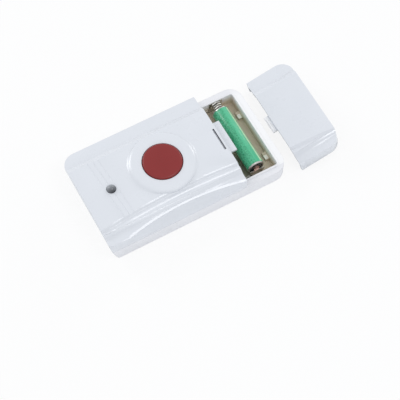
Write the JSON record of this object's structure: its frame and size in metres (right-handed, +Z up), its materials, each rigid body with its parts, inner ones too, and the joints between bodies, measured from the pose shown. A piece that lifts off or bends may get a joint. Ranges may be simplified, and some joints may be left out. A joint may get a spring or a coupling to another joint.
{
  "type": "wireless panic button",
  "caption": "Flat rounded wireless panic button with a domed red press button on a raised collar, an indicator lamp and an open battery bay with its loose cover.",
  "frame": {"origin": "centre of the flat underside of the back shell", "axes": "+X along the case from the lamp end to the battery end, +Y across it to the straight long side, +Z up through the red button"},
  "size_m": [0.1536, 0.0652, 0.0259],
  "materials": {
    "case_plastic": "fine satin, cool white",
    "red_plastic": "satin, deep red",
    "black_plastic": "satin",
    "plated_steel": "bright nickel plating",
    "clear_plastic": "polished, slightly milky",
    "board_laminate": "satin green solder mask",
    "sleeved_can": "satin sleeve",
    "ochre_ceramic": "dipped ceramic",
    "tan_ceramic": "lacquered",
    "battery_jacket": "glossy printed jacket, plain green"
  },
  "bodies": {
    "case": {"front_shell": "case_plastic", "back_shell": "case_plastic", "battery_cover": "case_plastic", "switch_body": "black_plastic", "switch_pins": "plated_steel", "lamp_lens": "clear_plastic", "lamp_leads": "plated_steel", "lamp_spacer": "black_plastic", "circuit_board": "board_laminate", "encoder_chip": "black_plastic", "resonator_can": "plated_steel", "rf_transistor": "black_plastic", "wire_antenna": "plated_steel", "electrolytic_capacitor": "sleeved_can", "ceramic_capacitors": "ochre_ceramic", "resistors": "tan_ceramic", "positive_contact": "plated_steel", "negative_contact": "plated_steel", "negative_spring": "plated_steel", "battery": "battery_jacket", "case_screws": "plated_steel", "board_screws": "plated_steel"},
    "button": {"panic_button": "red_plastic"},
    "plunger": {"switch_plunger": "black_plastic"}
  },
  "joints": [
    {"name": "button_press", "type": "slide", "parent": "case", "child": "button", "axis": [0, 0, -1], "range_m": [0, 0.0008], "stiffness_N_per_m": 2500, "springref_m": -0.0004},
    {"name": "plunger_press", "type": "slide", "parent": "case", "child": "plunger", "axis": [0, 0, -1], "range_m": [0, 0.0008]}
  ],
  "couplings": [
    {"joint": "plunger_press", "follows": "button_press", "ratio": 1}
  ]
}
